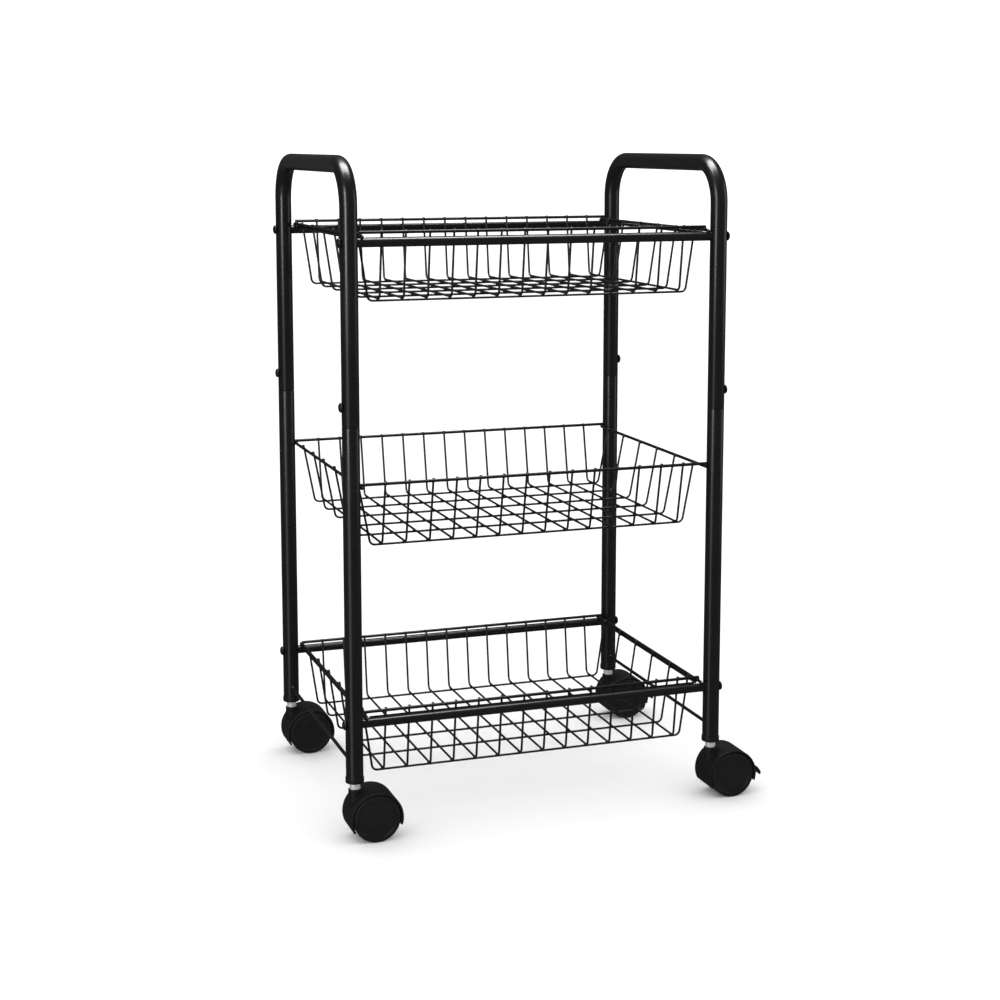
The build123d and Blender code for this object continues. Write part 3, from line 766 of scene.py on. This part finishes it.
def moulded_surface_group():
    """Moulded plastic: fine spark grain, faint flow clouding and pale rubbing on raised edges."""
    group = surface_group(
        "moulded surface",
        {
            "Body Color": (0.014, 0.014, 0.015, 1),
            "Rub Color": (0.06, 0.06, 0.06, 1),
            "Grain Scale": 1800.0,
            "Gloss Low": 0.42,
            "Gloss High": 0.55,
            "Rubbing": 0.4,
        },
    )
    given = add_node(group, "NodeGroupInput")
    result = add_node(group, "NodeGroupOutput")
    place = add_node(group, "ShaderNodeTexCoord")
    grain = add_node(group, "ShaderNodeTexVoronoi")
    flow = add_node(group, "ShaderNodeTexNoise", {"Scale": 60.0, "Detail": 6.0, "Distortion": 1.2})
    scratch = add_node(group, "ShaderNodeTexNoise", {"Scale": 420.0, "Detail": 6.0})
    shape = add_node(group, "ShaderNodeNewGeometry")
    raised = add_node(group, "ShaderNodeMapRange", {"From Min": 0.53, "From Max": 0.62})
    broken = add_node(group, "ShaderNodeMapRange", {"From Min": 0.42, "From Max": 0.62})
    rubbed = add_node(group, "ShaderNodeMath", operation="MULTIPLY")
    rubbed_much = add_node(group, "ShaderNodeMath", operation="MULTIPLY")
    clouding = add_node(group, "ShaderNodeMapRange", {"To Min": 0.7, "To Max": 1.3})
    shade = add_node(group, "ShaderNodeMix", {"Factor": 1.0}, data_type="RGBA", blend_type="MULTIPLY")
    colour = add_node(group, "ShaderNodeMix", data_type="RGBA")
    gloss = add_node(group, "ShaderNodeMapRange", {"From Min": 0.3, "From Max": 0.7})
    wire_up(
        group,
        (place, "Object", grain, "Vector"),
        (place, "Object", flow, "Vector"),
        (place, "Object", scratch, "Vector"),
        (given, "Grain Scale", grain, "Scale"),
        (shape, "Pointiness", raised, "Value"),
        (scratch, "Fac", broken, "Value"),
        (raised, "Result", rubbed, 0),
        (broken, "Result", rubbed, 1),
        (rubbed, "Value", rubbed_much, 0),
        (given, "Rubbing", rubbed_much, 1),
        (flow, "Fac", clouding, "Value"),
        (flow, "Fac", gloss, "Value"),
        (given, "Gloss Low", gloss, "To Min"),
        (given, "Gloss High", gloss, "To Max"),
        (given, "Body Color", shade, 6),
        (clouding, "Result", shade, 7),
        (shade, 2, colour, 6),
        (given, "Rub Color", colour, 7),
        (rubbed_much, "Value", colour, 0),
        (colour, 2, result, "Color"),
        (gloss, "Result", result, "Roughness"),
        (grain, "Distance", result, "Height"),
    )
    return group


moulded_surface = moulded_surface_group()


socket_nylon = cart_finish(
    "black nylon of the sockets",
    moulded_surface,
    {"Body Color": (0.006, 0.006, 0.0065, 1), "Grain Scale": 2200.0, "Gloss Low": 0.36, "Gloss High": 0.5},
    bump_distance=0.04 * MM,
    bump_strength=0.3,
    specular=0.4,
)

socket_profile = [(socket_bore, socket_low.z)]
collar_foot = (collar_radius - COLLAR_EDGE, socket_low.z + COLLAR_EDGE)
collar_top = (collar_radius - COLLAR_TOP_EDGE, foot_z - COLLAR_TOP_EDGE)
socket_profile += rounded_corner(collar_foot, COLLAR_EDGE, -90, 0)
socket_profile += rounded_corner(collar_top, COLLAR_TOP_EDGE, 0, 90)
socket_profile += [(socket_radius, foot_z), (socket_radius, socket_high.z), (socket_bore, socket_high.z)]
fit_in_corners("foot_plug", socket_profile, socket_nylon, "socket_plastic", "stem_socket")


# ---- Caster stems -------------------------------------------------------------------------------
# A turned steel pin with a wide shoulder, bright zinc plated. Its upper end snaps into the
# socket on a spring ring, and the caster's hood swivels on the lower end under the shoulder.

SHOULDER_RADIUS = 5.9 * MM
SHOULDER_EDGE = 0.5 * MM
GROOVE_RADIUS = 3.4 * MM
STEM_TIP = 1.0 * MM
STEM_FOOT_EDGE = 0.5 * MM
SWIVEL_GAP = 0.3 * MM
TOOTH_HEIGHT = 1.4 * MM

hood_low, hood_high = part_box("caster_hood_front_left")
boss_top_z = hood_high.z - TOOTH_HEIGHT
shoulder_foot_z = boss_top_z + SWIVEL_GAP
retainer_low, retainer_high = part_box("swivel_retaining_rings")
grip_low, grip_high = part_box("stem_grip_rings")

stem_profile = [(0, stem_low.z), (STEM_RADIUS - STEM_FOOT_EDGE, stem_low.z)]
stem_profile += [(STEM_RADIUS, stem_low.z + STEM_FOOT_EDGE)]
stem_profile += [(STEM_RADIUS, retainer_low.z), (GROOVE_RADIUS, retainer_low.z)]
stem_profile += [(GROOVE_RADIUS, retainer_high.z), (STEM_RADIUS, retainer_high.z)]
stem_profile += [(STEM_RADIUS, shoulder_foot_z)]
shoulder_flat = SHOULDER_RADIUS - SHOULDER_EDGE
stem_profile += rounded_corner((shoulder_flat, shoulder_foot_z + SHOULDER_EDGE), SHOULDER_EDGE, -90, 0)
stem_profile += rounded_corner((shoulder_flat, socket_low.z - SHOULDER_EDGE), SHOULDER_EDGE, 0, 90)
stem_profile += [(STEM_RADIUS, socket_low.z), (STEM_RADIUS, grip_low.z), (GROOVE_RADIUS, grip_low.z)]
stem_profile += [(GROOVE_RADIUS, grip_high.z), (STEM_RADIUS, grip_high.z)]
stem_profile += [(STEM_RADIUS, stem_high.z - STEM_TIP), (STEM_RADIUS - STEM_TIP, stem_high.z)]
stem_profile += [(0, stem_high.z)]
fit_in_corners("plated_stem", stem_profile, bright_zinc, "plated_steel", "caster_stem", 48, 30)
for ring in ("stem_grip_rings", "swivel_retaining_rings"):
    keep_node(ring, bright_zinc)


# ---- Caster hoods -------------------------------------------------------------------------------
# The body of each twin-wheel caster, moulded in one from black nylon: a shell over both
# wheels, open below, a web between the wheels that holds the axle, and a boss at the front
# for the stem. The right pair have two slots for the brake lever; every edge is softly rounded.

HOOD_WALL = 2.5 * MM
HOOD_LIP_FRONT = radians(207)
HOOD_LIP_REAR = radians(-18)
WEB_HALF_WIDTH = 3.0 * MM
HUB_RADIUS = 6.0 * MM
HUB_HALF_WIDTH = 7.4 * MM
BOSS_RADIUS = 7.2 * MM
BOSS_FOOT = 6.0 * MM
BOSS_EDGE = 0.8 * MM
BOSS_BORE = 4.05 * MM
RING_ROOM_RADIUS = 5.6 * MM
RING_ROOM_TOP = 11.0 * MM
WEB_OVERLAP = 1.5 * MM
WEB_SHELF = 4.0 * MM
TOOTH_HALF_WIDTH = 1.8 * MM
TOOTH_SUNK = 0.2 * MM
TOOTH_OUTLINE = [(0, 0), (1.0 * MM, 0), (0.9 * MM, TOOTH_HEIGHT), (0.2 * MM, TOOTH_HEIGHT)]
SLOT_HALF_WIDTH = 6.9 * MM
SLOT_LOW = -5.0 * MM
SLOT_HIGH = 8.4 * MM
HOOD_VOXEL = 0.45 * MM
HOOD_KEPT = 0.3

wheel_low, wheel_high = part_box("caster_wheel_front_left_outer")
wheel_radius = (wheel_high.z - wheel_low.z) / 2
axle_z = wheel_low.z + wheel_radius
hood_radius = (hood_high.x - hood_low.x) / 2
hood_half_width = (hood_high.y - hood_low.y) / 2
trail = hood_low.x + hood_radius + post_x
boss_top = boss_top_z - axle_z
lever_low, lever_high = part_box("brake_lever_front_right")
pin_low, pin_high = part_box("brake_pin_front_right")
right_axle_x = post_x + trail

hood_nylon = cart_finish(
    "black nylon of the hoods",
    moulded_surface,
    {"Body Color": (0.0065, 0.0065, 0.007, 1), "Grain Scale": 1500.0, "Gloss Low": 0.44, "Gloss High": 0.56},
    bump_distance=0.06 * MM,
    bump_strength=0.4,
    specular=0.3,
)


def flat_plate(outline, half_width):
    """A plate in the XZ plane with this closed outline, half_width to each side in Y."""
    count = len(outline)
    points = [Vector((x, y, z)) for y in (-half_width, half_width) for x, z in outline]
    faces = [list(range(count)), list(range(count, 2 * count))]
    faces += [[k, (k + 1) % count, count + (k + 1) % count, count + k] for k in range(count)]
    return points, faces


def arc_points(radius, start, end, steps):
    """Points on an arc about the axle, in XZ."""
    span = range(steps + 1)
    angles = [start + (end - start) * step / steps for step in span]
    return [(radius * cos(angle), radius * sin(angle)) for angle in angles]


def hood_shell():
    """The part-cylinder over both wheels."""
    outer = arc_points(hood_radius, HOOD_LIP_REAR, HOOD_LIP_FRONT, 96)
    inner = arc_points(hood_radius - HOOD_WALL, HOOD_LIP_FRONT, HOOD_LIP_REAR, 96)
    return flat_plate(outer + inner, hood_half_width)


def hood_web():
    """The plate between the wheels, cut away where the boss stands."""
    inside = hood_radius - HOOD_WALL / 2
    front_x = BOSS_RADIUS - trail - WEB_OVERLAP
    top_angle = pi - atan2(sqrt(inside**2 - front_x**2), -front_x)
    outline = arc_points(inside, HOOD_LIP_REAR, top_angle, 40)
    outline += [(front_x, WEB_SHELF), (-sqrt(inside**2 - WEB_SHELF**2), WEB_SHELF)]
    outline += arc_points(inside, pi, HOOD_LIP_FRONT, 10)
    return flat_plate(outline + [(0, 0)], WEB_HALF_WIDTH)


def hood_boss():
    """The stem's boss, hollow at its foot for the retaining ring, with a stop tooth on its rim."""
    profile = [(RING_ROOM_RADIUS, BOSS_FOOT), (BOSS_RADIUS, BOSS_FOOT)]
    profile += rounded_corner((BOSS_RADIUS - BOSS_EDGE, boss_top - BOSS_EDGE), BOSS_EDGE, 0, 90)
    profile += [(BOSS_BORE, boss_top), (BOSS_BORE, RING_ROOM_TOP), (RING_ROOM_RADIUS, RING_ROOM_TOP)]
    tooth = flat_plate(TOOTH_OUTLINE, TOOTH_HALF_WIDTH)
    tooth = moved(tooth, Matrix.Translation((-BOSS_RADIUS, 0, boss_top - TOOTH_SUNK)))
    return moved(together([turned_profile(profile, 48), tooth]), Matrix.Translation((-trail, 0, 0)))


def moulded_in_one(shapes, voxel, kept):
    """Overlapping closed shapes merged into one skin with soft edges; kept is its share of faces."""
    rough = make_piece("unmerged", together(shapes), hood_nylon)
    merge = rough.modifiers.new("merge", "REMESH")
    merge.mode = "VOXEL"
    merge.voxel_size = voxel
    soften = rough.modifiers.new("soften", "SMOOTH")
    soften.factor = 0.5
    soften.iterations = 5
    thin = rough.modifiers.new("thin", "DECIMATE")
    thin.ratio = kept
    return worked_shape(rough)


def side_slots():
    """The two slots beside the web that the brake lever's arms pass through."""
    near_x = pin_low.x - right_axle_x
    far_x = hood_radius + HOOD_WALL
    outline = [(near_x, SLOT_LOW), (far_x, SLOT_LOW), (far_x, SLOT_HIGH), (near_x, SLOT_HIGH)]
    slot = flat_plate(outline, (SLOT_HALF_WIDTH - WEB_HALF_WIDTH) / 2)
    middle = (SLOT_HALF_WIDTH + WEB_HALF_WIDTH) / 2
    return [moved(slot, Matrix.Translation((0, side * middle, 0))) for side in (-1, 1)]


hub_profile = [(0, -HUB_HALF_WIDTH), (HUB_RADIUS, -HUB_HALF_WIDTH)]
hub_profile += [(HUB_RADIUS, HUB_HALF_WIDTH), (0, HUB_HALF_WIDTH)]
hub = moved(turned_profile(hub_profile, 40), Matrix.Rotation(pi / 2, 4, "X"))
inner_parts = [hood_web(), hood_boss(), hub]
plain_hood = moulded_in_one([hood_shell()] + inner_parts, HOOD_VOXEL, HOOD_KEPT)
braked_hood = moulded_in_one([carved(hood_shell(), side_slots())] + inner_parts, HOOD_VOXEL, HOOD_KEPT)

for corner, (side, end) in CORNERS.items():
    place = Matrix.Translation((side * post_x + trail, end * post_y, axle_z))
    shape = moved(braked_hood if side > 0 else plain_hood, place)
    hood = make_piece(f"moulded_hood_{corner}", shape, hood_nylon, 60)
    fit_piece(hood, f"caster_{corner}", "caster_plastic", f"caster_hood_{corner}")
    keep_node(f"caster_axle_{corner}", bright_zinc)


# ---- Wheels ---------------------------------------------------------------------------------------
# Eight hard nylon wheels, two on each axle. The outer face is a smooth dished disc with a
# rounded shoulder; the inner side is hollow, with ribs from the hub to the rim. The tread has
# the dull, slightly grey scuffing of a wheel that has been rolled about.

WHEEL_EDGE = 1.6 * MM
FACE_LINE = [(21.3, 0.0), (21.0, 0.1), (20.6, 0.5), (12.6, 0.38), (5.25, 0.3), (0.0, 0.28)]
HOLLOW_RADIUS = 20.5 * MM
HOLLOW_DEPTH = 7.0 * MM
WHEEL_HUB = 6.5 * MM
WHEEL_BORE = 3.05 * MM
BORE_DEPTH = 9.5 * MM
RIB_COUNT = 12
RIB_HALF_WIDTH = 0.7 * MM
RIB_ROOT = 0.3 * MM
RIB_SUNK = 2.0 * MM
TREAD_SHARE = 0.6

wheel_width = wheel_high.y - wheel_low.y

wheel_nylon = cart_finish(
    "black nylon of the wheel faces",
    moulded_surface,
    {"Body Color": (0.0075, 0.0075, 0.008, 1), "Grain Scale": 2600.0, "Gloss Low": 0.34, "Gloss High": 0.46},
    bump_distance=0.02 * MM,
    bump_strength=0.3,
    specular=0.4,
)
tread_nylon = cart_finish(
    "scuffed nylon of the treads",
    moulded_surface,
    {
        "Body Color": (0.011, 0.011, 0.0115, 1),
        "Rub Color": (0.05, 0.048, 0.046, 1),
        "Grain Scale": 900.0,
        "Gloss Low": 0.55,
        "Gloss High": 0.75,
        "Rubbing": 0.7,
    },
    bump_distance=0.08 * MM,
    bump_strength=0.5,
    specular=0.4,
)

wheel_profile = [(0, BORE_DEPTH), (WHEEL_BORE, BORE_DEPTH), (WHEEL_BORE, 0), (WHEEL_HUB, 0)]
wheel_profile += [(WHEEL_HUB, HOLLOW_DEPTH), (HOLLOW_RADIUS, HOLLOW_DEPTH), (HOLLOW_RADIUS, 0)]
edge_middle = wheel_radius - WHEEL_EDGE
wheel_profile += rounded_corner((edge_middle, WHEEL_EDGE), WHEEL_EDGE, -90, 0, 6)
wheel_profile += rounded_corner((edge_middle, wheel_width - WHEEL_EDGE), WHEEL_EDGE, 0, 90, 8)
wheel_profile += [(radius * MM, wheel_width - depth * MM) for radius, depth in FACE_LINE]
wheel_shapes = [turned_profile(wheel_profile, 96)]
tread_starts = wheel_radius - WHEEL_EDGE * TREAD_SHARE
rib_ends = (WHEEL_HUB - RIB_ROOT, HOLLOW_RADIUS + RIB_ROOT)
rib_outline = [(x, RIB_SUNK) for x in rib_ends] + [(x, HOLLOW_DEPTH + RIB_ROOT) for x in rib_ends[::-1]]
rib = flat_plate(rib_outline, RIB_HALF_WIDTH)
for number in range(RIB_COUNT):
    wheel_shapes.append(moved(rib, Matrix.Rotation(2 * pi * number / RIB_COUNT, 4, "Z")))
wheel_shape = together(wheel_shapes)

for corner, (side, end) in CORNERS.items():
    axle_x = side * post_x + trail
    for position, facing in (("outer", end), ("inner", -end)):
        node = f"caster_wheel_{corner}_{position}"
        node_low, node_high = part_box(node)
        inner_y = node_low.y if facing > 0 else node_high.y
        place = Matrix.Translation((axle_x, inner_y, axle_z)) @ Matrix.Rotation(-facing * pi / 2, 4, "X")
        wheel = make_piece(f"nylon_wheel_{corner}_{position}", moved(wheel_shape, place), wheel_nylon, 25)
        wheel.data.materials.append(tread_nylon)
        for face in wheel.data.polygons:
            if hypot(face.center.x - axle_x, face.center.z - axle_z) > tread_starts:
                face.material_index = 1
        fit_piece(wheel, f"wheel_{corner}_{position}", "wheel_plastic", node)


# ---- Brake levers -----------------------------------------------------------------------------------
# The two casters on the right have a foot brake: a small moulded lever whose two arms pass
# through slots in the hood to a steel pin. The tab behind the hood curls down, and three
# low ribs across it keep a shoe from slipping off.

LEVER_VOXEL = 0.3 * MM
LEVER_KEPT = 0.5
ARM_INNER = 3.4 * MM
ARM_OUTER = 6.4 * MM
ARM_HALF_HEIGHT = 1.8 * MM
ARM_REACH = 33 * MM
EYE_RADIUS = 2.4 * MM
EYE_BORE = 1.25 * MM
TAB_TOP = [(31.8, 0.9), (31.9, 5.0), (34.1, 4.6), (35.7, 3.3), (37.1, 1.8), (38.9, -0.8), (40.1, -2.8)]
TAB_END = [(40.1, -4.6), (39.7, -6.0), (38.7, -6.15), (37.9, -5.9)]
TAB_UNDERSIDE = [(37.3, -4.4), (36.7, -2.9), (35.6, -1.4), (34.5, -0.1)]
TAB_RIBS = [(35.4, 3.05), (36.9, 1.45), (38.4, -0.65)]
TAB_RIB = 0.5 * MM
TAB_RIB_SHARE = 0.8

pivot_x = (pin_low.x + pin_high.x) / 2 - right_axle_x
pivot_z = (pin_low.z + pin_high.z) / 2 - axle_z
tab_half = (lever_high.y - lever_low.y) / 2
rib_half = tab_half * TAB_RIB_SHARE
tab_outline = [(x * MM, z * MM) for x, z in TAB_TOP + TAB_END + TAB_UNDERSIDE]
lever_shapes = [flat_plate(tab_outline, tab_half)]
for x, z in TAB_RIBS:
    rib = [(x * MM, side * rib_half, z * MM) for side in (-1, 1)]
    lever_shapes.append(swept_bar(bent_route(rib, 0), TAB_RIB, (1, 0, 0), 12))
arm_half = (ARM_OUTER - ARM_INNER) / 2
arm_low = pivot_z - ARM_HALF_HEIGHT
arm_high = pivot_z + ARM_HALF_HEIGHT
arm_outline = [(pivot_x, arm_low), (ARM_REACH, arm_low), (ARM_REACH, arm_high), (pivot_x, arm_high)]
arm = flat_plate(arm_outline, arm_half)
eye_profile = [(EYE_BORE, -arm_half), (EYE_RADIUS, -arm_half), (EYE_RADIUS, arm_half), (EYE_BORE, arm_half)]
on_pin = Matrix.Translation((pivot_x, 0, pivot_z)) @ Matrix.Rotation(pi / 2, 4, "X")
eye = moved(turned_profile(eye_profile, 32), on_pin)
for side in (-1, 1):
    beside = Matrix.Translation((0, side * (ARM_INNER + ARM_OUTER) / 2, 0))
    lever_shapes += [moved(arm, beside), moved(eye, beside)]
lever_shape = moulded_in_one(lever_shapes, LEVER_VOXEL, LEVER_KEPT)

for corner, end in (("front_right", -1), ("rear_right", 1)):
    in_place = moved(lever_shape, Matrix.Translation((right_axle_x, end * post_y, axle_z)))
    lever = make_piece(f"foot_brake_{corner}", in_place, hood_nylon, 60)
    fit_piece(lever, f"brake_{corner}", "caster_plastic", f"brake_lever_{corner}")
    keep_node(f"brake_pin_{corner}", bright_zinc)


# ---- Studio -----------------------------------------------------------------------------------------
# A pale floor and a white surround that is dim in reflections. Two upright strips at the left
# draw the highlight down each post, with a panel overhead and a weak fill at the right. The
# panels only show as reflections.

FLOOR_HALF = 9.0
CAMERA_PLACE = (-0.6886, -1.9982, 0.7505)
CAMERA_TURN = 19.22
CAMERA_DIP = 8.013
CAMERA_LENS = 65.74
CAMERA_SHIFT = -0.1019
SURROUND_SEEN = 1.32
SURROUND_REFLECTED = 0.08

floor_material = bpy.data.materials.new("pale floor")
floor_material.use_nodes = True
floor_shader = floor_material.node_tree.nodes["Principled BSDF"]
floor_shader.inputs["Roughness"].default_value = 0.9
floor_shader.inputs["Specular IOR Level"].default_value = 0.1
floor_shader.inputs["Base Color"].default_value = (0.92, 0.92, 0.92, 1)
floor_points = [(x * FLOOR_HALF, y * FLOOR_HALF, 0) for x, y in ((-1, -1), (1, -1), (1, 1), (-1, 1))]
floor = make_piece("studio_floor", (floor_points, [[0, 1, 2, 3]]), floor_material)
floor.visible_glossy = False

world = bpy.data.worlds.new("white surround")
bpy.context.scene.world = world
world.use_nodes = True
surround = world.node_tree
back = surround.nodes["Background"]
back.inputs["Color"].default_value = (1, 1, 1, 1)
seen = add_node(surround, "ShaderNodeLightPath")
level = add_node(surround, "ShaderNodeMapRange", {"To Min": SURROUND_SEEN, "To Max": SURROUND_REFLECTED})
wire_up(surround, (seen, "Is Glossy Ray", level, "Value"), (level, "Result", back, "Strength"))


def soft_panel(name, place, aim, size, power):
    """A rectangular soft light that only shows as a reflection, pointed from a place at a spot."""
    light = bpy.data.lights.new(name, "AREA")
    light.shape = "RECTANGLE"
    light.size, light.size_y = size
    light.energy = power
    panel = bpy.data.objects.new(name, light)
    panel.location = place
    panel.rotation_euler = (Vector(aim) - Vector(place)).to_track_quat("-Z", "Y").to_euler()
    panel.visible_camera = False
    panel.visible_diffuse = False
    bpy.context.scene.collection.objects.link(panel)


soft_panel("upper_left_strip", (-1.0, -0.82, 0.95), (0, 0, 0.95), (0.17, 1.1), 9)
soft_panel("lower_left_strip", (-1.0, -0.82, -0.1), (0, 0, -0.1), (0.5, 1.0), 1.7)
soft_panel("overhead", (0.0, 0.15, 2.3), (0, 0, 0.3), (1.6, 0.8), 70)
soft_panel("right_fill", (1.6, -0.5, 0.8), (0, 0, 0.4), (0.5, 1.2), 3)

lens = bpy.data.cameras.new("camera")
lens.lens = CAMERA_LENS
lens.shift_y = CAMERA_SHIFT
camera = bpy.data.objects.new("camera", lens)
camera.location = CAMERA_PLACE
camera.rotation_euler = (radians(90 - CAMERA_DIP), 0, radians(-CAMERA_TURN))
bpy.context.scene.collection.objects.link(camera)
bpy.context.scene.camera = camera
bpy.context.scene.view_settings.view_transform = "Standard"
